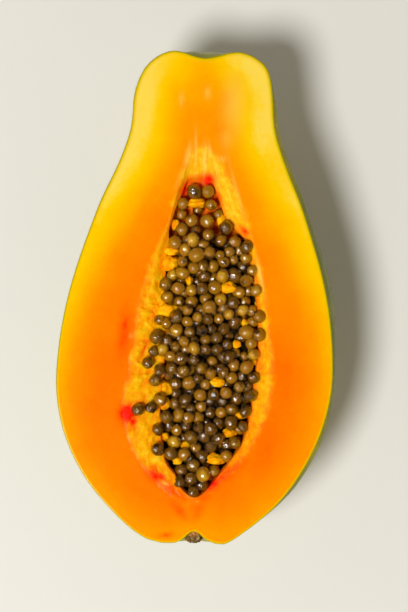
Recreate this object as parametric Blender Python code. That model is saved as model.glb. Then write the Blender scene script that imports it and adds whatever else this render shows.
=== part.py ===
"""One half of a ripe papaya, cut lengthwise, lying on its rind with the cut face up.

+Y runs to the stem end, +X to the right of the cut face and +Z up. The origin is on the surface
that the half rests on, under the middle of its box. Sizes are in millimetres until the last step.
"""

import math

import bmesh
import bpy

MM = 0.001

# The fruit: its cut face is level, this far above the spot that it rests on.
CUT_HEIGHT = 64.5
# A papaya is a little flatter than it is wide, and has five soft ribs along its length.
FRUIT_DEPTH_SHARE = 0.965
RIBS = 5
RIB_SHARE = 0.012
# The underside is fullest a little nearer the stem than the flanks are.
BELLY_SHARE = 0.03
BELLY_MIDDLE = 4.0
BELLY_REACH = 75.0
# The right flank swells out under the cut: how far, where along Y, how long and how deep.
FLANK_SWELL = 6.0
FLANK_MIDDLE = 8.0
FLANK_REACH = 60.0
FLANK_DEPTH = 46.0

# The axis from stem to blossom lies this far right of the middle of the half's box.
AXIS_X = 1.1

# Rows of (distance along Y, left half-width, right half-width), from the blossom end to the stem end,
# with the half-widths measured from the axis at the cut face. The first and the last row lie in the
# dimples, a little behind the lobes round them.
FRUIT_ROWS = [
    (-113.6, 0.0, 0.0),
    (-117.6, 4.8, 5.6),
    (-120.0, 12.0, 13.0),
    (-117.0, 25.0, 20.0),
    (-101.5, 43.2, 38.8),
    (-84.0, 56.8, 51.9),
    (-62.0, 66.2, 61.9),
    (-38.0, 69.1, 66.1),
    (0.0, 64.2, 62.0),
    (43.5, 50.6, 49.8),
    (67.0, 40.3, 40.4),
    (84.0, 35.0, 35.0),
    (100.0, 34.0, 33.6),
    (114.0, 27.8, 30.2),
    (120.9, 15.6, 17.0),
    (117.2, 0.0, 0.0),
]
# The shallow bed of seed-bearing tissue that the knife opens round the hollow.
BED_DEPTH = 5.0
BED_ROWS = [
    (-101.5, 0.0, 0.0),
    (-92.0, 17.0, 10.5),
    (-77.0, 29.5, 24.0),
    (-55.0, 36.6, 35.4),
    (-32.0, 33.0, 37.6),
    (4.0, 24.4, 33.2),
    (31.0, 17.4, 26.2),
    (62.0, 9.5, 13.6),
    (77.0, 0.0, 0.0),
]
# The hollow that the seeds fill.
HOLLOW_DEPTH = 34.0
HOLLOW_ROWS = [
    (-98.0, 0.0, 0.0),
    (-85.0, 12.5, 13.5),
    (-68.0, 19.0, 24.5),
    (-42.0, 20.5, 29.0),
    (-18.0, 21.5, 31.0),
    (8.0, 19.5, 28.0),
    (32.0, 14.5, 21.5),
    (48.0, 9.0, 9.5),
    (60.0, 0.0, 0.0),
]
# Cutters start above the cut face, so that no edge of theirs lies in it.
CUTTER_LIFT = 1.0
# The heap of seeds fills the hollow. Its rim lies this share of the hollow's depth down. From there
# its lumpy top rises over the cut face towards the stem, and stays under it at the blossom end.
HEAP_RIM_SHARE = 0.13
HEAP_TOP_AT_BLOSSOM = -1.5
HEAP_TOP_AT_STEM = 4.5
HEAP_RISE_FROM = -80.0
HEAP_RISE_TO = -10.0
HEAP_LUMP = 1.0
HEAP_LUMP_PITCH = 15.0
# Between two pieces that touch.
GAP = 0.4

# The dried blossom end, a ribbed button in the dimple between the two lobes, cut through like the fruit.
BUTTON_ROWS = [
    (-119.8, 0.0, 0.0),
    (-119.2, 3.0, 3.2),
    (-116.4, 3.6, 3.8),
    (-114.0, 0.0, 0.0),
]
BUTTON_RIB_SHARE = 0.1

# Rings along a form, and steps round it.
FRUIT_RINGS, FRUIT_STEPS = 54, 48
BED_RINGS, BED_STEPS = 34, 32
HOLLOW_RINGS, HOLLOW_STEPS = 44, 34
BUTTON_RINGS, BUTTON_STEPS = 8, 14


def clear_scene():
    for found in list(bpy.data.objects):
        bpy.data.objects.remove(found)


def new_collection(name):
    made = bpy.data.collections.new(name)
    bpy.context.scene.collection.children.link(made)
    return made


def new_material(name, colour, roughness):
    made = bpy.data.materials.new(name)
    made.use_nodes = True
    shader = made.node_tree.nodes["Principled BSDF"]
    shader.inputs["Base Color"].default_value = (*colour, 1.0)
    shader.inputs["Roughness"].default_value = roughness
    shader.inputs["Metallic"].default_value = 0.0
    return made


def smooth_step(t):
    t = min(1.0, max(0.0, t))
    return t * t * (3.0 - 2.0 * t)


def evenly_along(rows, rings):
    """rings + 1 rows, evenly spaced along one smooth curve through the given rows.

    It is a Catmull-Rom curve on the chord length. Beyond each end it goes on as the mirror image
    across the axis, so that the form closes smoothly over its poles.
    """
    before = (rows[1][0], -rows[1][1], -rows[1][2])
    after = (rows[-2][0], -rows[-2][1], -rows[-2][2])
    points = [before, *rows, after]
    spans = [
        math.hypot(b[0] - a[0], (b[1] + b[2] - a[1] - a[2]) / 2)
        for a, b in zip(points, points[1:])
    ]
    slopes = [
        [(c - a) / (before_it + after_it) for a, c in zip(points[i - 1], points[i + 1])]
        for i, (before_it, after_it) in enumerate(zip(spans, spans[1:]), start=1)
    ]
    inner = spans[1:-1]
    made = []
    for ring in range(rings + 1):
        left = sum(inner) * ring / rings
        span = 0
        while span < len(inner) - 1 and left > inner[span]:
            left -= inner[span]
            span += 1
        t, length = min(1.0, left / inner[span]), inner[span]
        made.append([
            (2 * t**3 - 3 * t**2 + 1) * a
            + (t**3 - 2 * t**2 + t) * length * slope_a
            + (3 * t**2 - 2 * t**3) * b
            + (t**3 - t**2) * length * slope_b
            for a, b, slope_a, slope_b in zip(
                rows[span], rows[span + 1], slopes[span], slopes[span + 1]
            )
        ])
    return made


def side_width(left, right, turn):
    """The half-width at a turn round the axis, which runs smoothly from one side's to the other's."""
    return (left + right) / 2 + (right - left) / 2 * math.cos(turn)


def drawn_form(name, rows, rings, steps, place, inset=0.0):
    """A UV sphere with its poles along Y, whose rings are drawn out to the rows.

    place(left, right, along, turn) returns a point, with its X from the fruit's axis. A turn is 0 at
    +X and a quarter turn at +Z. The whole surface then moves in by the inset.
    """
    shape = bmesh.new()
    bmesh.ops.create_uvsphere(shape, u_segments=steps, v_segments=rings, radius=1.0)
    levels = evenly_along(rows, rings)
    for vert in shape.verts:
        ring = round(math.acos(max(-1.0, min(1.0, vert.co.z))) / math.pi * rings)
        # Half a step on, so that no vertex lies in the cut face.
        turn = (math.atan2(vert.co.y, vert.co.x) + math.pi / steps + math.pi) % math.tau - math.pi
        along, left, right = levels[ring]
        x, y, z = place(left, right, along, turn)
        vert.co = ((x + AXIS_X) * MM, y * MM, z * MM)
    shape.normal_update()
    inward = [(vert, vert.normal * -inset * MM) for vert in shape.verts]
    for vert, move in inward:
        vert.co += move
    mesh = bpy.data.meshes.new(name)
    shape.to_mesh(mesh)
    shape.free()
    mesh.shade_smooth()
    return bpy.data.objects.new(name, mesh)


def fruit_point(left, right, along, turn):
    half_width = side_width(left, right, turn) * (1.0 - RIB_SHARE * math.sin(RIBS * turn))
    x = half_width * math.cos(turn)
    near_belly = smooth_step(1.0 - abs(along - BELLY_MIDDLE) / BELLY_REACH)
    z = half_width * math.sin(turn) * FRUIT_DEPTH_SHARE * (1.0 + BELLY_SHARE * near_belly)
    if x > 0.0 and z < 0.0:
        near_flank = smooth_step(1.0 - abs(along - FLANK_MIDDLE) / FLANK_REACH)
        x += FLANK_SWELL * near_flank * math.sin(math.pi * min(1.0, -z / FLANK_DEPTH))
    return x, along, CUT_HEIGHT + z


def basin_place(depth, rows):
    """The place function of a cutter that is this deep under the cut face at its widest row."""
    widest = max((left + right) / 2 for _, left, right in rows)

    def place(left, right, along, turn):
        half_width = side_width(left, right, turn)
        share = math.sqrt(max(0.0, left + right) / 2 / widest)
        z = CUTTER_LIFT + (depth + CUTTER_LIFT) * share * math.sin(turn)
        return half_width * math.cos(turn), along, CUT_HEIGHT + z

    return place


def heap_point(left, right, along, turn):
    """The hollow's own wall from its floor up to the heap's rim, and a lumpy top over that."""
    wall = basin_place(HOLLOW_DEPTH, HOLLOW_ROWS)
    rim = math.asin(HEAP_RIM_SHARE)
    if turn <= 0.0:
        return wall(left, right, along, -rim + turn * (math.pi - 2.0 * rim) / math.pi)
    right_x, _, rim_z = wall(left, right, along, -rim)
    left_x, _, _ = wall(left, right, along, rim - math.pi)
    x = left_x + (right_x - left_x) * (1.0 + math.cos(turn)) / 2
    rise = smooth_step((along - HEAP_RISE_FROM) / (HEAP_RISE_TO - HEAP_RISE_FROM))
    top = HEAP_TOP_AT_BLOSSOM + (HEAP_TOP_AT_STEM - HEAP_TOP_AT_BLOSSOM) * rise
    waves = math.sin(math.tau * along / HEAP_LUMP_PITCH) * math.cos(math.tau * x / HEAP_LUMP_PITCH)
    crown = CUT_HEIGHT + top + HEAP_LUMP * waves
    return x, along, rim_z + max(0.0, crown - rim_z) * math.sin(turn)


def button_point(left, right, along, turn):
    half_width = side_width(left, right, turn) * (1.0 - BUTTON_RIB_SHARE * math.sin(RIBS * turn))
    return half_width * math.cos(turn), along, CUT_HEIGHT + half_width * math.sin(turn)


def block(name, low, high):
    """A box between two heights that is wider and longer than the fruit."""
    shape = bmesh.new()
    bmesh.ops.create_cube(shape, size=1.0)
    for vert in shape.verts:
        vert.co.x *= 400.0 * MM
        vert.co.y *= 400.0 * MM
        vert.co.z = (low if vert.co.z < 0.0 else high) * MM
    mesh = bpy.data.meshes.new(name)
    shape.to_mesh(mesh)
    shape.free()
    return bpy.data.objects.new(name, mesh)


def cut(target, cutters):
    for cutter in cutters:
        modifier = target.modifiers.new(cutter.name, "BOOLEAN")
        modifier.operation = "DIFFERENCE"
        modifier.solver = "EXACT"
        modifier.object = cutter


clear_scene()
papaya = new_collection("papaya_half")
helpers = new_collection("cutters")

above_cut = block("above_cut", CUT_HEIGHT, CUT_HEIGHT + 100.0)
above_button = block("above_button", CUT_HEIGHT - GAP, CUT_HEIGHT + 100.0)
below_rest = block("below_rest", -50.0, 0.0)
bed = drawn_form("bed", BED_ROWS, BED_RINGS, BED_STEPS, basin_place(BED_DEPTH, BED_ROWS))
hollow = drawn_form(
    "hollow", HOLLOW_ROWS, HOLLOW_RINGS, HOLLOW_STEPS, basin_place(HOLLOW_DEPTH, HOLLOW_ROWS)
)
button_seat = drawn_form(
    "button_seat", BUTTON_ROWS, BUTTON_RINGS, BUTTON_STEPS, button_point, inset=-GAP
)
for helper in (above_cut, above_button, below_rest, bed, hollow, button_seat):
    helper.hide_render = True
    helper.display_type = "WIRE"
    helpers.objects.link(helper)

flesh = drawn_form("flesh", FRUIT_ROWS, FRUIT_RINGS, FRUIT_STEPS, fruit_point)
flesh.data.materials.append(new_material("orange_flesh", (1.0, 0.21, 0.003), 0.45))
cut(flesh, [above_cut, below_rest, bed, hollow, button_seat])
papaya.objects.link(flesh)

seeds = drawn_form("seeds", HOLLOW_ROWS, HOLLOW_RINGS, HOLLOW_STEPS, heap_point, inset=GAP)
seeds.data.materials.append(new_material("wet_seeds", (0.09, 0.05, 0.01), 0.25))
papaya.objects.link(seeds)

button = drawn_form("blossom_button", BUTTON_ROWS, BUTTON_RINGS, BUTTON_STEPS, button_point)
button.data.materials.append(new_material("dry_blossom_end", (0.08, 0.045, 0.02), 0.9))
cut(button, [above_button])
papaya.objects.link(button)
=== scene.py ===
import math

import bpy
import numpy as np
from mathutils import Matrix, Vector, noise
from mathutils.bvhtree import BVHTree
from mathutils.kdtree import KDTree


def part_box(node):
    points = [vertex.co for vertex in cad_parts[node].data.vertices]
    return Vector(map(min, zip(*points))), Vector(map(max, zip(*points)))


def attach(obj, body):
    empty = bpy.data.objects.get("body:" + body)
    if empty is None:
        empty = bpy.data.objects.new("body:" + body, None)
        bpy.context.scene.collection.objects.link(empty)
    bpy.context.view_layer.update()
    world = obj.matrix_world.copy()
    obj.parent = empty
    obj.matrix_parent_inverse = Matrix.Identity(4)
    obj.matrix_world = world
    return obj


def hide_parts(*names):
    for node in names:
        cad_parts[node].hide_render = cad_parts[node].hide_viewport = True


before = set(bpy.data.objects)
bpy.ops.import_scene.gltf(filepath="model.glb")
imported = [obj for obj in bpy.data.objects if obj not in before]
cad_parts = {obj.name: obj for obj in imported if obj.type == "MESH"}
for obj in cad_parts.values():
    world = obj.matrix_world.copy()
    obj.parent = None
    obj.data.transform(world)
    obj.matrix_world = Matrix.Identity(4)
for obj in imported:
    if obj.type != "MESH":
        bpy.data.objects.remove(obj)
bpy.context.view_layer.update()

bpy.ops.object.select_all(action="DESELECT")

# ------------------------------------------------------------------------------------------------
# The half: flesh and rind
# Ripe papaya flesh and its thin rind are one soft body, cut lengthwise with a knife. The cut face is
# flat and wet. It dips into a bed of stringy, seed-bearing tissue, and that drops into the hollow.

MM = 0.001
flesh_low, flesh_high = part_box("flesh")
seeds_low, seeds_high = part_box("seeds")
button_low, button_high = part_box("blossom_button")
CUT_Z = flesh_high.z
AXIS_X = (button_low.x + button_high.x) / 2
MIDDLE = Vector((AXIS_X, (seeds_low.y + seeds_high.y) / 2, CUT_Z))

# Points round the half, and rings from the middle of the hollow over the cut face to its underside.
ROUND = 512
HOLLOW_RINGS, BED_RINGS, FACE_RINGS, EDGE_RINGS, RIND_RINGS = 20, 22, 36, 4, 46
RINGS = HOLLOW_RINGS + BED_RINGS + FACE_RINGS + EDGE_RINGS + RIND_RINGS
EDGE = 0.8 * MM
EDGE_DROP = 0.3 * MM
OUTLINE_STEP = 0.4 * MM


def surface_of(mesh):
    """Sorted, as a sphere's faces come in another order each run, and the seeds would shift with it."""
    faces = sorted(tuple(face.vertices) for face in mesh.polygons)
    return BVHTree.FromPolygons([vert.co.copy() for vert in mesh.vertices], faces)


def height(surface, x, y):
    """How high the surface's top lies there, or None beside it."""
    hit = surface.ray_cast(Vector((x, y, CUT_Z + 0.05)), Vector((0, 0, -1)))[0]
    return None if hit is None else hit.z


flesh_solid = surface_of(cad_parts["flesh"].data)
heap_solid = surface_of(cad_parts["seeds"].data)


def spread(radius, angle):
    return MIDDLE.x + radius * math.cos(angle), MIDDLE.y + radius * math.sin(angle)


def outlines(angle):
    """How far from the middle the hollow, the bed and the rind reach at this angle."""
    way = Vector((math.cos(angle), math.sin(angle), 0))
    below_cut = Vector((0, 0, -OUTLINE_STEP))
    rim = flesh_solid.ray_cast(MIDDLE + below_cut + way * 0.3, -way)[0]
    rind = (rim - MIDDLE - below_cut).length
    bed = hollow = None
    radius = rind - 2 * MM
    while hollow is None and radius > 0:
        x, y = spread(radius, angle)
        if bed is None and height(flesh_solid, x, y) < CUT_Z - 0.12 * MM:
            bed = radius
        if height(heap_solid, x, y) is not None:
            hollow = radius + OUTLINE_STEP
        radius -= OUTLINE_STEP
    return hollow, bed, rind


angles = [math.tau * step / ROUND for step in range(ROUND)]
reach = np.array([outlines(angle) for angle in angles])


def eased(values, times):
    """Evens out the steps in which an outline was measured."""
    for _ in range(times):
        values = (np.roll(values, 1, 0) + 2 * values + np.roll(values, -1, 0)) / 4
    return values


def softly(t):
    t = min(1.0, max(0.0, t))
    return t * t * (3 - 2 * t)


def lumps(point, pitch, seed=0.0):
    """Smooth noise from -1 to 1 whose lumps are about that far apart."""
    return noise.noise(Vector((point[0] / pitch + seed, point[1] / pitch, point[2] / pitch + seed)))


reach[:, :2] = eased(reach[:, :2], 6)
reach[:, 2:] = eased(reach[:, 2:], 1)
solid_hollow = reach[:, 0].copy()
# By the neck the hollow's edge is blunt, and tissue covers its right corner: (x from the axis, y).
APEX = [
    (24.9, 28.4), (20.3, 31.6), (11.6, 40.0), (7.9, 50.6), (5.6, 57.0), (3.9, 60.2), (-7.2, 59.2),
    (-9.8, 51.9), (-13.4, 42.8), (-16.4, 31.6),
]
apex = [Vector((x * MM, y * MM - MIDDLE.y)) for x, y in APEX]
apex_angles = [math.atan2(way.y, way.x) for way in apex]
for step, angle in enumerate(angles):
    if apex_angles[0] < angle < apex_angles[-1]:
        reach[step, 0] = np.interp(angle, apex_angles, [way.length for way in apex])
reach[:, 0] = eased(reach[:, 0], 1)
# Tissue hangs over the hollow as an uneven lip, furthest on the left.
LIP_LEFT, LIP_RIGHT = 5.8 * MM, 0.3 * MM
BED_SPREAD = 4.0 * MM
for step, angle in enumerate(angles):
    x, y = spread(reach[step, 1], angle)
    to_left = softly(-math.cos(angle) * 1.6)
    beside = to_left * softly((44 * MM - y) / (20 * MM)) * softly((y + 34 * MM) / (34 * MM))
    reach[step, 1] += BED_SPREAD * beside + lumps((x, y, 0), 11 * MM, 14.0) * 0.8 * MM
    x, y = spread(reach[step, 0], angle)
    left = to_left * softly((24 * MM - y) / (22 * MM)) * softly((y + 80 * MM) / (14 * MM))
    lip = LIP_RIGHT + (LIP_LEFT - LIP_RIGHT) * left
    ragged = lumps((x, y, 0), 7 * MM, 4.0) * 1.6 + lumps((x, y, 0), 2.8 * MM, 9.0) * 0.8
    reach[step, 0] -= lip + ragged * MM * (0.45 + 1.35 * left)


def way_points(line):
    """An outline as close points, to find how far from it a place is."""
    tree = KDTree(ROUND * 4)
    for step in range(ROUND * 4):
        share = step / 4 - step // 4
        radius = line[step // 4] * (1 - share) + line[(step // 4 + 1) % ROUND] * share
        tree.insert((*spread(radius, math.tau * step / ROUND / 4), 0), step)
    tree.balance()
    return tree


hollow_line, bed_line, rind_line = (way_points(reach[:, line]) for line in range(3))

bpy.ops.mesh.primitive_uv_sphere_add(segments=ROUND, ring_count=RINGS + 1, radius=1, location=(0, 0, 0))
half = bpy.context.object
half.name = "papaya_flesh"
half.data.name = "papaya_flesh"

# How yellow the flesh is, from 0 for ripe orange to 1 for cream: rows of along Y in millimetres, then
# the yellow at these depths in from the rind. The neck ripens last, so it stays yellow deepest.
DEPTHS = (3, 9, 15, 21, 28)
YELLOWS = [
    (-108, 0.34, 0.20, 0.08, 0.0, 0.0),
    (-74, 0.27, 0.12, 0.07, 0.06, 0.02),
    (-49, 0.44, 0.23, 0.08, 0.01, 0.0),
    (-25, 0.58, 0.30, 0.13, 0.04, 0.0),
    (0, 0.74, 0.44, 0.20, 0.10, 0.08),
    (24, 0.86, 0.66, 0.36, 0.16, 0.10),
    (38, 0.91, 0.74, 0.56, 0.29, 0.15),
    (53, 0.99, 0.86, 0.62, 0.36, 0.25),
    (75, 1.0, 0.97, 0.80, 0.54, 0.31),
]
VEIN_WIDTH = 11


def marks_at(marks, x, y, combine=max):
    """How strongly soft oval marks show at a point. Each is (x from the axis, y, across, along, turn,
    strength), in millimetres and degrees."""
    shares = [0.0]
    for spot_x, spot_y, across, along, turn, strength in marks:
        dx, dy = (x - MIDDLE.x) / MM - spot_x, y / MM - spot_y
        c, s = math.cos(math.radians(turn)), math.sin(math.radians(turn))
        u, v = (dx * c + dy * s) / across, (dy * c - dx * s) / along
        shares.append(strength * math.exp(-(u * u + v * v)))
    return combine(shares)


# Patches that are yellower or riper than the rows say.
TINTS = [
    (38, 2, 10, 28, 4, 0.13),
    (52, 0, 5, 20, 0, 0.06),
    (38, 66, 8, 20, 22, -0.07),
    (-8, 115, 12, 7, 0, -0.12),
    (28, 34, 5, 14, 20, 0.06),
]


def yellowness(x, y, from_rind):
    along, depth = y / MM, from_rind / MM
    # The vein up the middle of the neck is ripe right up to the stem end.
    vein = softly((along - 62) / 14) * math.exp(-(((x - MIDDLE.x) / MM / VEIN_WIDTH) ** 2))
    depth += 0.62 * vein * max(0, DEPTHS[-1] - depth)
    stations = [row[0] for row in YELLOWS]
    at_depths = [np.interp(along, stations, [row[1 + i] for row in YELLOWS]) for i in range(len(DEPTHS))]
    return float(np.interp(depth, DEPTHS, at_depths)) + marks_at(TINTS, x, y, sum)


# Overripe red spots and streaks of the flesh, from the axis: (x, y, across, along, turn, strength).
BLUSHES = [
    (-36.4, -18, 3.2, 12, -4, 0.55),
    (-36.0, -14, 1.5, 4.5, -8, 0.85),
    (-37.4, -23, 1.4, 3.0, 0, 0.8),
    (-26.6, -25.5, 1.1, 5.5, -25, 0.8),
    (-33.9, -57.2, 3.9, 4.2, 30, 1.8),
    (-31.0, -60.2, 2.2, 2.2, 0, 1.1),
    (-27.5, -51.5, 2.6, 1.4, 0, 0.6),
    (-18.6, -87.0, 3.0, 5.8, 52, 1.1),
    (-13.2, -92.2, 2.6, 7.5, 50, 0.75),
    (-7.6, -103.5, 2.4, 6.5, 40, 0.55),
    (8.6, -90.4, 2.6, 5.2, -45, 1.05),
    (15.5, -84.8, 2.6, 10, -51, 0.75),
    (1.6, -103.8, 2.4, 5.5, -22, 0.42),
    (-7.4, -96.0, 2.6, 4.4, 50, 0.55),
    (4.8, -96.2, 2.4, 4.6, -45, 0.5),
    (-0.4, -101.0, 3.0, 5.0, 0, 0.28),
    (42, -42, 8, 20, -4, 0.16),
    (36, -70, 6, 14, -18, 0.2),
    (-13.6, -115.8, 4.0, 1.4, 8, 0.6),
    (-8.6, 52.8, 1.8, 5.0, -18, 1.1),
    (2.8, 58.2, 3.4, 3.4, 20, 1.15),
    (8.0, 49.0, 1.6, 4.0, 15, 0.8),
    (21.5, 33.5, 1.5, 3.6, 50, 0.9),
]


# Pale strings of the bed, where the tissue runs up into the neck and along the right of the bed, and one
# painted highlight: a wet glint on the red streak low on the left.
PALE_STRINGS_AND_GLINT = [
    (-7.2, 69.6, 1.3, 5.0, -14, 0.75),
    (-3.5, 71.5, 0.7, 8.5, 0, 0.6),
    (0.8, 67.6, 0.9, 6.5, 0, 0.95),
    (3.4, 72.3, 0.8, 3.4, 8, 0.6),
    (9.6, 68.4, 2.6, 0.8, 4, 0.7),
    (16.6, 54.5, 0.7, 14.0, 17, 0.35),
    (-10.8, 60.0, 0.7, 6.0, -20, 0.3),
    (6.8, 63.0, 0.7, 6.0, 14, 0.3),
    (29.4, 12.0, 0.9, 6.0, 12, 0.6),
    (31.6, -17.5, 1.0, 1.6, 0, 0.4),
    (-33.0, -19.0, 0.8, 1.2, 0, 0.5),
    (1.7, 100.3, 1.4, 2.6, 0, 0.4),
    (-10.9, 97.0, 1.0, 3.0, 0, 0.4),
    (14.9, 96.0, 5.0, 14.0, -4, 0.36),
    (11.6, 79.0, 3.2, 6.0, -10, 0.22),
    # A painted highlight: a wet glint on the red streak low on the left.
    (-14.0, -90.9, 0.7, 1.5, 50, 1.0),
    (22.6, 7.0, 0.8, 2.0, 0, 0.3),
]


def face_radius(ring, step):
    """A ring's radius in the hollow, on the bed, on the cut face or round its outermost edge."""
    hollow, bed, rind = reach[step]
    if ring <= HOLLOW_RINGS:
        return hollow * (1 - (1 - ring / HOLLOW_RINGS) ** 1.7)
    ring -= HOLLOW_RINGS
    if ring <= BED_RINGS:
        return hollow + (bed - hollow) * ring / BED_RINGS
    ring -= BED_RINGS
    if ring <= FACE_RINGS:
        return bed + (rind - EDGE - bed) * ring / FACE_RINGS
    ring -= FACE_RINGS
    return rind - EDGE * (1 - math.sin(math.pi / 2 * ring / EDGE_RINGS))


# How deep the bed's tissue lies at the lip of the hollow, and how shallow the hollow's end at the
# neck is: rows of (along Y, depth), in millimetres.
BED_DEPTHS = [(-100, 0.0), (-90, 0.6), (-70, 2.4), (-20, 3.2), (30, 3.0), (62, 2.2), (80, 0.4)]
SADDLE = [(14, 30), (26, 13), (38, 9), (50, 7), (62, 4)]


def along_rows(rows, y):
    return float(np.interp(y / MM, [row[0] for row in rows], [row[1] for row in rows])) * MM


def half_point(ring, step):
    """A point of the half, and what its surface is like there."""
    angle = angles[step]
    top_rings = RINGS - RIND_RINGS
    hollow, bed, _ = reach[step]
    if ring <= top_rings:
        radius = face_radius(ring, step)
        x, y = spread(radius, angle)
        edge_share = max(0, ring - (top_rings - EDGE_RINGS)) / EDGE_RINGS
        z = CUT_Z - EDGE_DROP * (1 - math.cos(math.pi / 2 * edge_share))
        if radius < bed:
            lip_y = spread(hollow, angle)[1]
            sunk = softly((bed - radius) / max(bed - hollow, 2 * MM))
            z -= min(along_rows(BED_DEPTHS, lip_y), 0.4 * (bed - hollow)) * sunk
        if radius < hollow:
            deep = height(flesh_solid, *spread(radius * solid_hollow[step] / hollow, angle))
            deep = max(deep, CUT_Z - along_rows(SADDLE, y))
            z += (deep - z) * softly((hollow - radius) / (1.6 * MM))
        skin = 0.0
    else:
        down = math.pi / 2 * ((ring - top_rings) / RIND_RINGS) ** 1.45
        way = Vector((
            math.cos(down) * math.cos(angle), math.cos(down) * math.sin(angle), -math.sin(down)
        ))
        x, y, z = flesh_solid.ray_cast(MIDDLE + way * 0.3, -way)[0]
        skin = 1.0
    from_rind = rind_line.find((x, y, 0))[2]
    from_bed = bed_line.find((x, y, 0))[2]
    from_hollow = hollow_line.find((x, y, 0))[2]
    radius = math.hypot(x - MIDDLE.x, y - MIDDLE.y)
    from_bed = from_bed if radius >= bed else -from_bed
    from_hollow = from_hollow if radius >= hollow else -from_hollow
    if skin:
        from_rind, from_bed, from_hollow = -(CUT_Z - z), 0.03, 0.03
    return x, y, z, from_rind, from_bed, from_hollow, skin


count = len(half.data.vertices)
sphere = np.zeros(count * 3)
half.data.vertices.foreach_get("co", sphere)
sphere = sphere.reshape(-1, 3)
ring_of = np.rint(np.arccos(np.clip(sphere[:, 2], -1, 1)) / math.pi * (RINGS + 1)).astype(int)
step_of = np.rint(np.arctan2(sphere[:, 1], sphere[:, 0]) / math.tau * ROUND).astype(int) % ROUND
ring_of = np.minimum(ring_of, RINGS + 1)
placed = np.zeros((count, 7))
for i in range(count):
    if ring_of[i] == 0:
        placed[i] = (MIDDLE.x, MIDDLE.y, height(flesh_solid, MIDDLE.x, MIDDLE.y), 0.06, -0.03, -0.02, 0)
    elif ring_of[i] > RINGS:
        placed[i] = (MIDDLE.x, MIDDLE.y, flesh_low.z, -0.064, 0.03, 0.03, 1)
    else:
        placed[i] = half_point(ring_of[i], step_of[i])

points = placed[:, :3].copy()
yellow = np.zeros(count)
blush = np.zeros(count)
pale = np.zeros(count)
relief = np.zeros(count)
fan = np.zeros(count)
# The bed's strings fan out from this place up the neck.
FAN_Y = 91 * MM
# How far the right flank swells out past the cut edge: rows of (along Y, how far), in millimetres.
FLANK = [
    (-108, 0.3), (-92, 1.9), (-70, 2.1), (-45, 1.3), (-20, 1.0), (30, 1.2), (52, 2.2), (92, 2.1),
    (112, 0.5),
]
# How thick the cut rind looks: rows of (along Y, share of its thickness at the neck).
RIND_SHARES = [(-112, 0.55), (-60, 0.72), (0, 0.8), (60, 1.0)]
# How far the skin behind the dip of the stem end swells out past it.
STEM_SWELL = 1.8 * MM
for i in range(count):
    x, y, z, from_rind, from_bed, from_hollow, skin = placed[i]
    fan[i] = math.atan2(x - MIDDLE.x, max(FAN_Y - y, 8 * MM))
    if skin:
        points[i, :3] += np.array(sphere[i]) * lumps((x, y, z), 14 * MM) * 0.12 * MM
        below = CUT_Z - z
        swell = softly(below / (3.5 * MM)) * softly((34 * MM - below) / (22 * MM))
        points[i, 0] += along_rows(FLANK, y) * swell * softly((x - MIDDLE.x) / (20 * MM))
        in_dip = softly((y - 90 * MM) / (12 * MM)) * softly((13 * MM - abs(x - MIDDLE.x)) / (9 * MM))
        points[i, 1] += STEM_SWELL * swell * in_dip
        continue
    placed[i, 3] /= along_rows(RIND_SHARES, y) / MM
    yellow[i] = yellowness(x, y, from_rind)
    blush[i] = marks_at(BLUSHES, x, y)
    pale[i] = marks_at(PALE_STRINGS_AND_GLINT, x, y)
    # The bed is lumpy where seeds have sat in it, most of all on the left, and stringy by the neck.
    tissue = softly((0.6 * MM - from_bed) / (3.2 * MM))
    if tissue > 0:
        left = softly((MIDDLE.x + 2 * MM - x) / (10 * MM)) * softly((22 * MM - y) / (20 * MM))
        pits = lumps((x, y, 0), 3.9 * MM, 7.0) + 0.55 * lumps((x, y, 0), 1.9 * MM, 3.0)
        strings = lumps((fan[i] * 24 * MM, y * 0.16, 0), 1.0 * MM, 1.0)
        relief[i] = tissue * (pits * (0.25 + 0.75 * left) + 0.5 * strings * (1 - left))
        points[i, 2] += relief[i] * (0.4 + 0.6 * left) * MM
        points[i, 0] += tissue * left * 1.2 * MM * lumps((x, y, 0), 6 * MM, 11.0)
        points[i, 1] += tissue * left * 1.2 * MM * lumps((x, y, 0), 6 * MM, 17.0)
        points[i, 2] = min(points[i, 2], CUT_Z + 0.7 * MM)
    # The knife leaves the face very slightly wavy, and rougher where the flesh has gone soft.
    points[i, 2] += (1 - tissue) * 0.05 * MM * lumps((x, y, 0), 9 * MM, 5.0)
    soft = max(0.0, blush[i] - 0.5) * (1 - softly(-from_hollow / MM))
    points[i, 2] += soft * 0.2 * MM * lumps((x, y, 0), 2.4 * MM, 21.0)
points[:, 2] = np.maximum(points[:, 2], flesh_low.z)
half.data.vertices.foreach_set("co", points.ravel())
half.data.update()


def give_values(piece, name, values):
    attribute = piece.data.attributes.new(name, "FLOAT", "POINT")
    attribute.data.foreach_set("value", np.asarray(values, np.float32))


give_values(half, "from_rind_mm", placed[:, 3] / MM)
give_values(half, "from_bed_mm", placed[:, 4] / MM)
give_values(half, "from_hollow_mm", placed[:, 5] / MM)
give_values(half, "yellowness", yellow)
give_values(half, "blush", blush)
give_values(half, "pale", pale)
give_values(half, "relief", relief)
give_values(half, "fan", fan)
half.data.shade_smooth()


def linear(code):
    """The linear RGBA of an sRGB hex colour."""
    levels = [int(code[i:i + 2], 16) / 255 for i in (1, 3, 5)]
    return [c / 12.92 if c <= 0.04045 else ((c + 0.055) / 1.055) ** 2.4 for c in levels] + [1.0]


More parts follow.
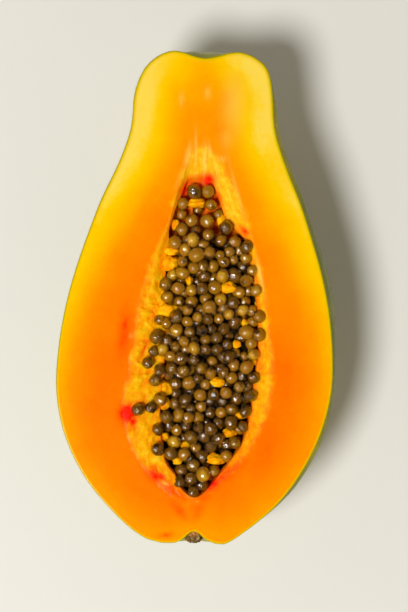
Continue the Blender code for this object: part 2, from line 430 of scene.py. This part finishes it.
def add(tree, kind, *values, sockets=None, ramp=None, give=None, **settings):
    """Adds a node with its settings and gives one of its outputs. The values go to its sockets in
    order, or by name in sockets. Each is another node's output, a number, a vector or a hex colour."""
    node = tree.nodes.new("ShaderNode" + kind)
    for name, setting in settings.items():
        setattr(node, name, setting)
    filled = list(zip([socket for socket in node.inputs if socket.enabled], values))
    filled += [(node.inputs[name], value) for name, value in (sockets or {}).items()]
    for socket, value in filled:
        if isinstance(value, bpy.types.NodeSocket):
            tree.links.new(value, socket)
        else:
            socket.default_value = linear(value) if isinstance(value, str) else value
    if ramp:
        stops = node.color_ramp.elements
        while len(stops) < len(ramp):
            stops.new(0.5)
        for stop, (place, colour) in zip(stops, ramp):
            stop.position = place
            stop.color = linear(colour) if isinstance(colour, str) else [colour] * 3 + [1.0]
    outputs = {socket.name: socket for socket in node.outputs if socket.enabled}
    return outputs[give] if give else next(iter(outputs.values()), None)


def empty_material(name):
    made = bpy.data.materials.new(name)
    made.use_nodes = True
    made.node_tree.nodes.clear()
    return made, made.node_tree


# Ripe papaya flesh, cut and wet: saturated orange, paler and yellower towards the rind, with a thin
# green line where the rind is cut. Light sinks in a few millimetres, which softens every edge.
flesh_paint, tree = empty_material("papaya_flesh_and_rind")
where = add(tree, "TexCoord", give="Object")
along = add(tree, "SeparateXYZ", where, give="Y")
flesh_at = {
    name: add(tree, "Attribute", give="Fac", attribute_name=name)
    for name in (
        "from_rind_mm", "from_bed_mm", "from_hollow_mm", "yellowness", "blush", "pale", "relief", "fan",
    )
}
grain = add(tree, "TexNoise", where, 420, 3.0)
grainy = add(tree, "MapRange", grain, 0.3, 0.7, -0.02, 0.02)
cloudy = add(tree, "MapRange", add(tree, "TexNoise", where, 70, 3.0), 0.3, 0.7, -0.045, 0.045)
yellow_share = add(tree, "Math", flesh_at["yellowness"], cloudy, operation="ADD")
yellow_share = add(tree, "Math", yellow_share, grainy, operation="ADD", use_clamp=True)
ripe = add(tree, "ValToRGB", yellow_share, ramp=[
    (0.0, "#FF7800"), (0.28, "#FF9400"), (0.52, "#FFAA00"), (0.74, "#FFBE00"), (0.88, "#FFC904"),
    (0.95, "#FFD030"), (1.0, "#FDD650"),
])
patchy = add(tree, "MapRange", add(tree, "TexNoise", where, 330, 3.0), 0.35, 0.65, 0.78, 1.15)
blush_share = add(tree, "Math", flesh_at["blush"], patchy, operation="MULTIPLY", use_clamp=True)
# The bed: pale yellow strings and lumps, with deeper orange between them.
fan_x = add(tree, "Math", flesh_at["fan"], 0.05, operation="MULTIPLY")
fan_y = add(tree, "Math", along, 0.12, operation="MULTIPLY")
strings = add(tree, "TexNoise", add(tree, "CombineXYZ", fan_x, fan_y), 700, 3.0, 0.6)
pits = add(tree, "TexNoise", where, 420, 2.0)
string_share = add(tree, "Math", flesh_at["relief"], 0.17, operation="MULTIPLY")
string_share = add(tree, "Math", strings, 0.55, string_share, operation="MULTIPLY_ADD")
string_share = add(tree, "Math", pits, 0.45, string_share, operation="MULTIPLY_ADD")
by_neck = add(tree, "MapRange", along, 0.018, 0.05, 0.0, 0.1)
string_share = add(tree, "Math", string_share, by_neck, operation="ADD")
bed_colour = add(tree, "ValToRGB", string_share, ramp=[
    (0.26, "#FF6A00"), (0.37, "#FF9000"), (0.48, "#FFA800"), (0.6, "#FFBA04"), (0.74, "#FFCC28"),
])
ragged = add(tree, "MapRange", add(tree, "TexNoise", where, 160, 2.0), 0.3, 0.7, -1.6, 1.6)
from_ragged_bed = add(tree, "Math", flesh_at["from_bed_mm"], ragged, operation="ADD")
in_bed = add(tree, "MapRange", from_ragged_bed, 1.4, -1.8)
# The bed ends above the lower tip of the hollow.
above_tip = add(tree, "MapRange", along, -0.098, -0.086)
bed_share = add(tree, "MapRange", above_tip, 0.0, 1.0, 0.2, 1.0)
in_bed = add(tree, "Math", in_bed, bed_share, operation="MULTIPLY")
cut_colour = add(tree, "Mix", in_bed, ripe, bed_colour, data_type="RGBA")
# Strings only show near the bed. Further up the neck the pale patches are soft.
up_neck = add(tree, "MapRange", flesh_at["from_bed_mm"], 4, 8, 0.0, 0.4)
stringy = add(tree, "Math", strings, up_neck, operation="ADD")
stringy = add(tree, "MapRange", stringy, 0.35, 0.6, 0.5, 1.1)
# The pale marks also paint one wet glint, a painted highlight.
pale_and_glint_share = add(tree, "Math", flesh_at["pale"], stringy, operation="MULTIPLY", use_clamp=True)
by_lip = add(tree, "MapRange", flesh_at["from_hollow_mm"], 1.7, 0.3, 0.0, 0.65)
in_hollow = add(tree, "MapRange", flesh_at["from_hollow_mm"], 0.0, -1.6)
for share, tint in (
    (by_lip, "#FF7A00"), (in_hollow, "#FF7400"), (blush_share, "#FF2000"), (pale_and_glint_share, "#FFD058"),
):
    cut_colour = add(tree, "Mix", share, cut_colour, tint, data_type="RGBA")
# The cut rind: olive green at the very edge, then yellow-green and yellow within two millimetres.
rind_share = add(tree, "MapRange", flesh_at["from_rind_mm"], 0.0, 2.0)
rind_grain = add(tree, "MapRange", grain, 0.3, 0.7, -0.03, 0.03)
rind_share = add(tree, "Math", rind_share, rind_grain, operation="ADD", use_clamp=True)
rind_colour = add(tree, "ValToRGB", rind_share, ramp=[
    (0.0, "#8A8400"), (0.2, "#B8A400"), (0.42, "#D6BA00"), (0.68, "#E4C204"), (1.0, "#F0C808"),
])
rind_fade = add(tree, "MapRange", flesh_at["from_rind_mm"], 2.2, 0.7)
colour = add(tree, "Mix", rind_fade, cut_colour, rind_colour, data_type="RGBA")
# Cut cells and fibres: fine on the face, and much rougher in the bed.
fine = add(tree, "Math", add(tree, "TexNoise", where, 1500, 2.0), 0.4, operation="MULTIPLY")
fine = add(tree, "Math", add(tree, "TexNoise", where, 600, 3.0), fine, operation="ADD")
fine_share = add(tree, "MapRange", from_ragged_bed, 1.0, -2.0, 0.12, 1.0)
fine = add(tree, "Math", fine, fine_share, operation="MULTIPLY")
bump = add(tree, "Bump", sockets={"Height": fine, "Strength": 0.5, "Distance": 0.5 * MM})
wet = add(tree, "MapRange", add(tree, "TexNoise", where, 120, 2.0), 0.3, 0.7, 0.09, 0.15)
near_bed = add(tree, "MapRange", flesh_at["from_bed_mm"], 1.5, -0.5, 0.0, 0.42)
near_bed = add(tree, "Math", near_bed, above_tip, operation="MULTIPLY")
wet = add(tree, "Math", wet, near_bed, operation="ADD")
shader = add(tree, "BsdfPrincipled", sockets={
    "Base Color": colour, "Normal": bump, "Roughness": wet, "IOR": 1.38, "Specular IOR Level": 0.08,
    "Subsurface Weight": 0.5, "Subsurface Radius": (1.0, 0.35, 0.05), "Subsurface Scale": 2.2 * MM,
})
add(tree, "OutputMaterial", shader)
half.data.materials.append(flesh_paint)

# The rind's outside: smooth and waxy, olive green by the cut, riper and yellower towards the belly,
# with fine pale specks.
rind_paint, tree = empty_material("waxy_papaya_rind")
where = add(tree, "TexCoord", give="Object")
up = add(tree, "SeparateXYZ", where, give="Z")
ripe_share = add(tree, "MapRange", add(tree, "TexNoise", where, 19, 3.0), 0.3, 0.7, 0.0, 0.75)
belly = add(tree, "MapRange", up, 0.06, 0.0, -0.1, 0.3)
mottled = add(tree, "MapRange", add(tree, "TexNoise", where, 120, 3.0), 0.3, 0.7, -0.1, 0.1)
for share in (belly, mottled):
    ripe_share = add(tree, "Math", ripe_share, share, operation="ADD")
colour = add(tree, "ValToRGB", ripe_share, ramp=[
    (0.0, "#6C7406"), (0.35, "#8F8C08"), (0.65, "#B4A008"), (1.0, "#D6A80C"),
])
specks = add(tree, "MapRange", add(tree, "TexNoise", where, 800, 1.0), 0.66, 0.72, 0.0, 0.6)
scuffs = add(tree, "MapRange", add(tree, "TexNoise", where, 260, 4.0, 0.7), 0.68, 0.76, 0.0, 0.7)
for share, tint in ((specks, "#D8C860"), (scuffs, "#6A5410")):
    colour = add(tree, "Mix", share, colour, tint, data_type="RGBA")
pores = add(tree, "Math", add(tree, "TexNoise", where, 800, 2.0), 0.08, operation="MULTIPLY")
pores = add(tree, "Math", add(tree, "TexNoise", where, 90, 2.0), pores, operation="ADD")
bump = add(tree, "Bump", sockets={"Height": pores, "Strength": 0.5, "Distance": 0.5 * MM})
wax = add(tree, "MapRange", add(tree, "TexNoise", where, 60, 3.0), 0.3, 0.7, 0.3, 0.42)
shader = add(tree, "BsdfPrincipled", sockets={
    "Base Color": colour, "Normal": bump, "Roughness": wax, "IOR": 1.45, "Specular IOR Level": 0.32,
})
add(tree, "OutputMaterial", shader)
half.data.materials.append(rind_paint)
on_skin = [0] * len(half.data.polygons)
for face in half.data.polygons:
    on_skin[face.index] = int(any(placed[corner, 6] for corner in face.vertices))
half.data.polygons.foreach_set("material_index", on_skin)
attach(half, "root")
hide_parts("flesh")

# ------------------------------------------------------------------------------------------------
# The core of the heap
# Under the loose seeds lie more seeds, juice and shreds of tissue, all in their own shadow. The core
# is the heap's solid, drawn down below the seeds that show.

# How far below the heap's top the core lies, and how much further by the neck.
CORE_DEPTH = 7.5 * MM
NECK_DEPTH = 26 * MM
core = bpy.data.objects.new("heap_core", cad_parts["seeds"].data.copy())
bpy.context.collection.objects.link(core)
bpy.context.view_layer.objects.active = core
core.select_set(True)
bpy.ops.object.mode_set(mode="EDIT")
bpy.ops.mesh.select_all(action="SELECT")
bpy.ops.mesh.remove_doubles(threshold=0.01 * MM)
bpy.ops.object.mode_set(mode="OBJECT")
core.data.update()
for vert in core.data.vertices:
    if vert.normal.z > 0.2:
        at_neck = softly((vert.co.y - 18 * MM) / (16 * MM))
        vert.co.z = max(seeds_low.z + 4 * MM, vert.co.z - CORE_DEPTH - at_neck * NECK_DEPTH)
remesh = core.modifiers.new("even", "REMESH")
remesh.mode = "VOXEL"
remesh.voxel_size = 1.5 * MM
bpy.ops.object.modifier_apply(modifier="even")
for vert in core.data.vertices:
    vert.co.z += lumps(vert.co, 6 * MM, 2.0) * 1.6 * MM
core.data.shade_smooth()

# Juice and shreds deep in the shade, coloured as painted shade: all but black, and dull, so that no light
# shows between seeds.
core_paint, tree = empty_material("painted_shade_seed_bed")
where = add(tree, "TexCoord", give="Object")
colour = add(tree, "ValToRGB", add(tree, "TexNoise", where, 240, 3.0), ramp=[
    (0.35, "#100800"), (0.55, "#1C1000"), (0.7, "#301C00"),
])
shreds_there = add(tree, "TexNoise", where, 400, 3.0)
bump = add(tree, "Bump", sockets={"Height": shreds_there, "Strength": 0.5, "Distance": 0.6 * MM})
shader = add(tree, "BsdfPrincipled", sockets={
    "Base Color": colour, "Normal": bump, "Roughness": 0.6, "Specular IOR Level": 0.04,
})
add(tree, "OutputMaterial", shader)
core.data.materials.clear()
core.data.materials.append(core_paint)
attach(core, "root")
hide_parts("seeds")
core.select_set(False)

# ------------------------------------------------------------------------------------------------
# Shreds of tissue in the heap
# Soft orange lobes of the tissue that the seeds hung from stand up between them. Each is a ball
# pressed out of round, and its foot is sunk in the heap.

# (x from the axis, y, across, along, sunk below the heap's top, how pale) in millimetres.
LOBES = [
    (-2.0, 46.6, 4.6, 2.2, 3.5, 0.0),
    (-12.4, 36.0, 2.6, 2.8, 2.5, 0.0),
    (-14.2, 23.4, 4.4, 2.6, 0.6, 0.0),
    (-14.8, 16.8, 4.8, 3.8, 0.6, 0.0),
    (-5.2, 8.6, 1.8, 2.8, 3.0, 0.0),
    (13.7, 5.6, 4.1, 2.8, 1.2, 0.0),
    (-15.6, -6.0, 5.4, 3.8, 0.4, 0.0),
    (29.2, -3.0, 2.0, 3.0, 2.0, 0.0),
    (18.7, -21.9, 2.0, 2.0, 2.6, 0.0),
    (22.3, -11.4, 1.4, 2.0, 2.6, 0.0),
    (10.2, -40.6, 3.4, 2.4, 1.4, 0.0),
    (16.2, -65.5, 3.4, 2.4, 1.2, 0.0),
    (9.6, -78.8, 4.8, 2.8, 1.0, 0.0),
    (-5.3, -72.4, 2.2, 2.0, 2.6, 0.0),
    (-9.2, -79.7, 2.2, 2.2, 2.4, 0.0),
    (-15.4, -68.4, 2.2, 2.2, 2.2, 0.0),
    (-16.4, -44.3, 4.2, 4.0, 1.4, 0.0),
    (-16.4, -52.0, 3.4, 3.0, 1.2, 0.0),
    (-18.8, -30.2, 2.0, 2.6, 2.6, 0.0),
    (9.8, 38.6, 2.2, 3.0, 4.2, 0.0),
    (26.6, -30.6, 2.2, 1.8, 2.0, 0.0),
    (20.6, -56.4, 4.6, 2.4, 1.0, 0.0),
    (26.3, 17.8, 0.9, 1.7, 0.6, 1.0),
    (28.6, 12.6, 0.8, 3.2, 0.8, 0.9),
    (27.2, 9.4, 1.0, 1.4, 0.8, 1.0),
]
lobe_places = []


def top_of_heap(x, y):
    found = height(heap_solid, x, y)
    return CUT_Z - 2 * MM if found is None else found


made, pales = [], []
for i, (x, y, across, along, sunk, pale) in enumerate(LOBES):
    bpy.ops.mesh.primitive_ico_sphere_add(subdivisions=4, radius=1, location=(0, 0, 0))
    lobe = bpy.context.object
    place = Vector((MIDDLE.x + x * MM, y * MM, 0))
    tall = max(across, along, 2.0) * 0.8
    place.z = top_of_heap(place.x, place.y) - (sunk + tall) * MM
    lobe_places.append((place, (across + along) / 2 * MM))
    for vert in lobe.data.vertices:
        swell = 1 + 0.3 * noise.noise(vert.co * 1.5 + Vector((i * 3.1, 0, 0)))
        swell += 0.12 * noise.noise(vert.co * 3.6 + Vector((0, i * 2.3, 0)))
        vert.co = Vector((vert.co.x * across, vert.co.y * along, vert.co.z * tall)) * swell * MM + place
    pales += [pale] * len(lobe.data.vertices)
    lobe.data.shade_smooth()
    made.append(lobe)
for lobe in made:
    lobe.select_set(True)
bpy.context.view_layer.objects.active = made[0]
bpy.ops.object.join()
shreds = bpy.context.object
shreds.name = "tissue_lobes"
give_values(shreds, "pale", pales)

# Loose wet tissue: yellow-orange like the bed, and a little see-through.
lobe_paint, tree = empty_material("wet_seed_tissue")
where = add(tree, "TexCoord", give="Object")
colour = add(tree, "ValToRGB", add(tree, "TexNoise", where, 300, 3.0), ramp=[
    (0.3, "#FF8A00"), (0.44, "#FFA200"), (0.56, "#FFB200"), (0.7, "#FFC410"),
])
pale_there = add(tree, "Attribute", give="Fac", attribute_name="pale")
colour = add(tree, "Mix", pale_there, colour, "#FFDC8C", data_type="RGBA")
fibres = add(tree, "TexNoise", where, 700, 2.0)
bump = add(tree, "Bump", sockets={"Height": fibres, "Strength": 0.3, "Distance": 0.4 * MM})
shader = add(tree, "BsdfPrincipled", sockets={
    "Base Color": colour, "Normal": bump, "Roughness": 0.6, "Specular IOR Level": 0.06,
    "Subsurface Weight": 0.3, "Subsurface Radius": (1.0, 0.5, 0.1), "Subsurface Scale": 1.0 * MM,
})
add(tree, "OutputMaterial", shader)
shreds.data.materials.append(lobe_paint)
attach(shreds, "root")
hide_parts("seeds")
shreds.select_set(False)

# ------------------------------------------------------------------------------------------------
# The seeds
# Ripe papaya seeds: round, dark and wrinkled, each in a glossy olive-brown coat of jelly. They lie
# loosely packed in the hollow, and a few have slipped onto the bed beside it.

SEED_RADIUS = 3.15 * MM
SEED_COUNT = 470
HEAP_LAYERS = 11 * MM
SETTLING_TURNS = 110
draw = np.random.default_rng(12)
flesh_surface = surface_of(half.data)

# The few seeds on the tissue at the neck end of the hollow, from the axis: (x, y, size, sunk).
NECK_SEEDS = [
    (-3.9, 52.0, 1.2, 2.6),
    (3.0, 52.5, 1.02, 3.0),
    (-9.1, 46.2, 0.98, 2.6),
    (4.6, 46.0, 0.96, 2.6),
    (8.2, 41.3, 0.8, 3.4),
    (-4.6, 38.0, 1.1, 1.0),
    (2.8, 37.9, 1.14, 0.8),
    (12.2, 34.9, 1.08, 1.0),
    (-9.3, 33.5, 1.0, 1.6),
    (-2.0, 43.4, 0.86, 4.6),
    (-9.6, 41.0, 0.9, 4.4),
    (-2.4, 33.2, 0.92, 2.8),
    (-12.5, 27.2, 1.12, 0.6),
    (-6.7, 28.6, 0.92, 2.8),
    (3.5, 31.1, 1.04, 0.8),
    (1.4, 26.6, 1.0, 0.2),
    (9.9, 28.6, 1.12, 0.6),
    (16.7, 28.1, 0.96, 1.0),
    (22.4, 25.7, 1.06, 1.0),
]
# Seeds that lie apart on the bed, from the axis: (x, y, size).
STRAYS = [
    (-20.8, -19.3, 1.1),
    (-21.6, -26.4, 0.86),
    (-24.6, -32.0, 0.92),
    (-18.8, -35.4, 1.0),
    (-18.2, -49.6, 0.98),
    (-22.2, -53.7, 0.95),
    (-28.8, -54.8, 0.98),
    (-18.7, -64.3, 0.92),
    (-18.7, -74.1, 1.05),
    (-12.4, -76.3, 1.05),
    (22.7, -62.3, 0.92),
    (18.9, -70.2, 0.98),
    (-0.8, -94.6, 0.9),
    (-7.8, -90.0, 0.98),
    (3.8, -86.0, 1.12),
    (29.2, -8.2, 1.0),
    (29.6, -17.4, 1.05),
    (27.2, -26.8, 0.95),
    (27.4, -38.2, 1.0),
    (26.2, -46.8, 1.04),
    (23.6, -54.8, 0.98),
    (27.4, 4.4, 0.95),
    (25.6, 14.2, 0.92),
    (-15.8, -12.6, 0.95),
    (-15.0, -58.6, 1.0),
]


def pile(count):
    """Places and radii of loosely packed balls: the chosen ones first, then the heap around them."""
    low, high = np.array(seeds_low), np.array(seeds_high)
    places, radii = [], []
    for x, y, size, sunk in NECK_SEEDS:
        at = (MIDDLE.x + x * MM, y * MM)
        radii.append(SEED_RADIUS * size)
        places.append((*at, CUT_Z - sunk * MM))
    for x, y, size in STRAYS:
        at = (MIDDLE.x + x * MM, y * MM)
        radii.append(SEED_RADIUS * size)
        rest = max(height(flesh_surface, *at), CUT_Z - 4.5 * MM)
        places.append((*at, rest + radii[-1] * 0.7))
    kept = len(places)
    while len(places) < count:
        x, y = draw.uniform(low[0], high[0]), draw.uniform(low[1], 24 * MM)
        top = height(heap_solid, x, y)
        if top is not None:
            places.append((x, y, top - SEED_RADIUS - draw.uniform(0, 1) ** 1.2 * HEAP_LAYERS))
            radii.append(SEED_RADIUS * min(1.24, max(0.78, draw.normal(1.0, 0.1))))
    places, radii = np.array(places), np.array(radii)
    settle = (0.45 - 2.2 * draw.uniform(0, 1, count) ** 1.5) * SEED_RADIUS
    fixed = np.array([place for place, _ in lobe_places])
    fixed_radii = np.array([radius * 0.8 for _, radius in lobe_places])
    for _ in range(SETTLING_TURNS):
        before = places[:kept].copy()
        apart = places[:, None] - places[None]
        gap = np.linalg.norm(apart, axis=2) + np.eye(count)
        push = np.clip((radii[:, None] + radii[None]) * 0.96 - gap, 0, None) * (1 - np.eye(count))
        places = places + (apart / gap[..., None] * push[..., None]).sum(1) * 0.28
        apart = places[:, None] - fixed[None]
        gap = np.linalg.norm(apart, axis=2)
        push = np.clip((radii[:, None] + fixed_radii[None]) * 1.02 - gap, 0, None)
        places = places + (apart / gap[..., None] * push[..., None]).sum(1) * 0.5
        places[:kept] = before
        for i in range(kept, count):
            x, y, z = places[i]
            top = top_of_heap(x, y) - radii[i] * 0.8 + settle[i]
            if z > top:
                places[i, 2] = top
            if z < top - HEAP_LAYERS - SEED_RADIUS:
                places[i, 2] += 0.3 * MM
            wall, normal, _, gap_to_wall = flesh_surface.find_nearest(Vector(places[i]))
            inside = (Vector(places[i]) - wall).dot(normal) < 0
            if inside or gap_to_wall < radii[i] * 0.85:
                away = normal * (radii[i] * 0.85 + (gap_to_wall if inside else -gap_to_wall))
                places[i] += np.array(away) * 0.6
    return places, radii


places, radii = pile(SEED_COUNT)


def seed_template(wrinkle, flute):
    """A unit seed: an ovoid with a blunt end, ribs along it and dents."""
    bpy.ops.mesh.primitive_ico_sphere_add(subdivisions=2, radius=1, location=(0, 0, 0))
    seed = bpy.context.object
    for vert in seed.data.vertices:
        turn = math.atan2(vert.co.y, vert.co.x)
        swell = 1 + flute * math.cos(5 * turn) * (1 - vert.co.z ** 2)
        swell += wrinkle * noise.noise(vert.co * 2.1)
        vert.co *= swell
        vert.co.z *= 1.1 + 0.07 * vert.co.z
    mesh = seed.data
    bpy.data.objects.remove(seed)
    return mesh


def scatter(name, template_mesh, chosen):
    """One piece with a turned, sized copy of the template at each chosen place."""
    unit = np.zeros(len(template_mesh.vertices) * 3)
    template_mesh.vertices.foreach_get("co", unit)
    unit = unit.reshape(-1, 3)
    faces = [tuple(face.vertices) for face in template_mesh.polygons]
    all_points, all_faces, tones_and_depth_shade, uppers, locals_ = [], [], [], [], []
    for i in chosen:
        turn = Matrix.Rotation(draw.uniform(0, math.tau), 3, Vector(draw.normal(size=3)))
        turn = np.array(turn @ Matrix.Rotation(draw.uniform(0, math.tau), 3, Vector(draw.normal(size=3))))
        stretch = draw.normal(1.0, 0.055, 3)
        first = len(all_points) * len(unit)
        turned = (unit * stretch) @ turn.T
        all_points.append(turned * radii[i] + places[i])
        uppers.append(turned[:, 2])
        all_faces += [tuple(corner + first for corner in face) for face in faces]
        # Each seed's tone is random, and darker the deeper it is sunk in the heap: painted shade of the
        # lower layers.
        sunk = top_of_heap(places[i, 0], places[i, 1]) - places[i, 2] - radii[i]
        tones_and_depth_shade += [max(0.01, draw.uniform(0, 1) - 0.75 * softly(sunk / (6 * MM)))] * len(unit)
        locals_.append(unit)
    mesh = bpy.data.meshes.new(name)
    mesh.from_pydata([tuple(p) for p in np.vstack(all_points)], [], all_faces)
    mesh.shade_smooth()
    piece = bpy.data.objects.new(name, mesh)
    bpy.context.collection.objects.link(piece)
    give_values(piece, "tone_and_depth_shade", tones_and_depth_shade)
    give_values(piece, "upper", np.concatenate(uppers))
    seed_place = mesh.attributes.new("seed_place", "FLOAT_VECTOR", "POINT")
    seed_place.data.foreach_set("vector", np.vstack(locals_).astype(np.float32).ravel())
    return piece


def seed_paint(name, dark, body, pale, wrinkles, gloss):
    """A seed in its coat of clear jelly: dark to olive-brown by the seed, under a wet, beaded film
    that breaks every glint into small, sharp ones."""
    paint, tree = empty_material(name)
    tone_and_depth_shade = add(tree, "Attribute", give="Fac", attribute_name="tone_and_depth_shade")
    upper = add(tree, "Attribute", give="Fac", attribute_name="upper")
    on_seed = add(tree, "Attribute", give="Vector", attribute_name="seed_place")
    apart = add(tree, "Math", tone_and_depth_shade, 60.0, operation="MULTIPLY")

    def on_coat(scale, stretch, detail=1.0):
        """Noise that lies on each seed its own way, drawn out along it."""
        drawn_out = add(tree, "Mapping", on_seed, sockets={"Scale": (1, 1, stretch)})
        return add(tree, "TexNoise", drawn_out, apart, scale, detail, noise_dimensions="4D")

    share = add(tree, "Math", tone_and_depth_shade, 0.42, operation="MULTIPLY")
    share = add(tree, "Math", on_coat(1.6, 0.6, 3.0), 0.75, share, operation="MULTIPLY_ADD")
    along = add(tree, "SeparateXYZ", on_seed, give="Z")
    blunt_end = add(tree, "MapRange", along, 0.8, 1.1, 0.0, -0.35)
    # Painted shade: the lower flanks of each seed are darker and its top lighter, as if turned from the
    # light, so from above each seed has dark edges and a lighter middle.
    painted_flank_shade = add(tree, "MapRange", upper, 0.1, 0.95, -0.34, 0.1)
    for more in (blunt_end, painted_flank_shade):
        share = add(tree, "Math", share, more, operation="ADD")
    colour = add(tree, "ValToRGB", share, ramp=[(0.2, dark), (0.45, body), (0.68, body), (0.9, pale)])
    rusty = add(tree, "MapRange", on_coat(1.0, 1.0), 0.6, 0.7, 0.0, 0.5)
    colour = add(tree, "Mix", rusty, colour, "#A85A00", data_type="RGBA")
    folds = add(tree, "Math", on_coat(4.6, 0.6), 0.45, on_coat(2.1, 0.45), operation="MULTIPLY_ADD")
    bump = add(tree, "Bump", sockets={"Height": folds, "Strength": wrinkles, "Distance": 0.9 * MM})
    film = add(tree, "Bump", sockets={
        "Height": on_coat(2.8, 0.8), "Normal": bump, "Strength": 1.0, "Distance": 0.36 * MM,
    })
    shader = add(tree, "BsdfPrincipled", sockets={
        "Base Color": colour, "Normal": bump, "Roughness": gloss, "IOR": 1.45, "Specular IOR Level": 0.5,
        "Coat Normal": film, "Coat Weight": 1.0, "Coat Roughness": 0.045, "Coat IOR": 1.75,
    })
    add(tree, "OutputMaterial", shader)
    return paint


# Towards the blossom end more of the seeds are dark and wrinkled.
wrinkled_share = np.interp(places[:, 1] / MM, (-60, -42, -20, 10), (0.8, 0.68, 0.34, 0.2))
is_wrinkled = draw.uniform(0, 1, len(places)) < wrinkled_share
plump = scatter("plump_seeds", seed_template(0.1, 0.0), np.flatnonzero(~is_wrinkled))
plump.data.materials.append(seed_paint("jelly_coated_seed", "#4A2C00", "#A06A00", "#CC9A14", 0.45, 0.36))
wrinkled = scatter("wrinkled_seeds", seed_template(0.18, 0.05), np.flatnonzero(is_wrinkled))
wrinkled.data.materials.append(seed_paint("wrinkled_seed", "#241200", "#6A4400", "#A07004", 0.8, 0.34))
for piece in (plump, wrinkled):
    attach(piece, "root")
    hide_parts("seeds")

# ------------------------------------------------------------------------------------------------
# The dry blossom end
# What is left of the flower: a corky brown button of withered lobes. It dried on the fruit, in the
# notch of the lower end.

bpy.ops.object.select_all(action="DESELECT")
bpy.ops.mesh.primitive_uv_sphere_add(segments=60, ring_count=36, radius=1, location=(0, 0, 0))
button = bpy.context.object
button.name = "dry_blossom_end"
button_middle = (button_low + button_high) / 2
button_size = (button_high - button_low) / 2
BUTTON_SHIFT = Vector((0, 1.2 * MM, 0))
for vert in button.data.vertices:
    # A blunt tip towards the flesh, and seven ragged, folded lobes that spread away from it.
    spread_out = softly((1.02 - vert.co.y) / 1.5)
    turn = math.atan2(vert.co.z, vert.co.x)
    folded = 1 + 0.22 * math.cos(7 * turn + 1.3) * spread_out + 0.3 * noise.noise(vert.co * 2.6)
    folded += 0.16 * noise.noise(vert.co * 7.0)
    ragged = -0.3 * math.cos(7 * turn + 1.3) * spread_out ** 2 + 0.3 * noise.noise(vert.co * 3.7)
    vert.co = button_middle + BUTTON_SHIFT + Vector((
        vert.co.x * button_size.x * (0.15 + 0.94 * spread_out) * folded,
        (vert.co.y * 1.02 + ragged) * button_size.y,
        vert.co.z * button_size.z * 1.2 * (0.4 + 0.7 * spread_out) * folded,
    ))
button.data.shade_smooth()

# Dry, corky plant skin: dull brown with dark cracks and bleached ridges, and sappy by the flesh.
cork, tree = empty_material("withered_blossom")
where = add(tree, "TexCoord", give="Object")
colour = add(tree, "ValToRGB", add(tree, "TexNoise", where, 620, 3.0, 0.6), ramp=[
    (0.36, "#301A02"), (0.45, "#6E4A10"), (0.55, "#8C6C30"), (0.68, "#B4A070"),
])
along = add(tree, "SeparateXYZ", where, give="Y")
near_flesh = add(tree, "MapRange", along, button_middle.y + 0.5 * MM, button_high.y, 0.0, 0.9)
colour = add(tree, "Mix", near_flesh, colour, "#F09A4C", data_type="RGBA")
cracks = add(tree, "TexNoise", where, 1100, 4.0)
bump = add(tree, "Bump", sockets={"Height": cracks, "Strength": 0.9, "Distance": 0.5 * MM})
shader = add(tree, "BsdfPrincipled", sockets={"Base Color": colour, "Normal": bump, "Roughness": 0.85})
add(tree, "OutputMaterial", shader)
button.data.materials.append(cork)
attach(button, "root")
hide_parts("blossom_button")

# ------------------------------------------------------------------------------------------------
# Floor, light and camera
# A plain pale floor and soft light from all round. The softbox hangs high above, a little to the
# left and towards the blossom end.

bpy.ops.mesh.primitive_plane_add(size=6, location=(0, 0, flesh_low.z))
floor = bpy.context.object
floor.name = "floor"
paper, tree = empty_material("pale_paper")
shader = add(tree, "BsdfPrincipled", sockets={
    "Base Color": "#E4E2DA", "Roughness": 0.95, "Specular IOR Level": 0.1,
})
add(tree, "OutputMaterial", shader)
floor.data.materials.append(paper)

KEY_DISTANCE = 1.6
key_way = Vector((-0.36, -0.28, 1.0)).normalized()
bpy.ops.object.light_add(type="AREA", location=MIDDLE + key_way * KEY_DISTANCE)
key = bpy.context.object
key.name = "softbox"
key.rotation_mode = "QUATERNION"
key.rotation_quaternion = key_way.to_track_quat("Z", "Y")
key.data.shape = "DISK"
key.data.size = 0.5
key.data.energy = 23.4

# Walls light it softly from all sides, and the dark ceiling keeps wet surfaces from looking milky.
world = bpy.data.worlds.new("studio")
bpy.context.scene.world = world
world.use_nodes = True
tree = world.node_tree
up = add(tree, "SeparateXYZ", add(tree, "TexCoord", give="Generated"), give="Z")
walls = add(tree, "ValToRGB", up, ramp=[(0.0, 0.44), (0.7, 0.44), (0.88, 0.06), (1.0, 0.03)])
walls = add(tree, "Mix", 1.0, walls, "#FFF9EA", data_type="RGBA", blend_type="MULTIPLY")
tree.links.new(walls, tree.nodes["Background"].inputs["Color"])
world.cycles_visibility.glossy = False

LENS = 100
SENSOR = 36
VIEW_HEIGHT = 0.2986
VIEW_ROLL = 1.33
bpy.ops.object.camera_add(
    location=(MIDDLE.x + 2.3 * MM, -3.6 * MM, CUT_Z + VIEW_HEIGHT * LENS / SENSOR),
    rotation=(0, 0, math.radians(VIEW_ROLL)),
)
camera = bpy.context.object
camera.name = "camera"
camera.data.lens = LENS
camera.data.sensor_width = SENSOR
camera.data.clip_start = 0.01
bpy.context.scene.camera = camera
bpy.context.scene.view_settings.view_transform = "Standard"
bpy.context.scene.view_settings.look = "None"
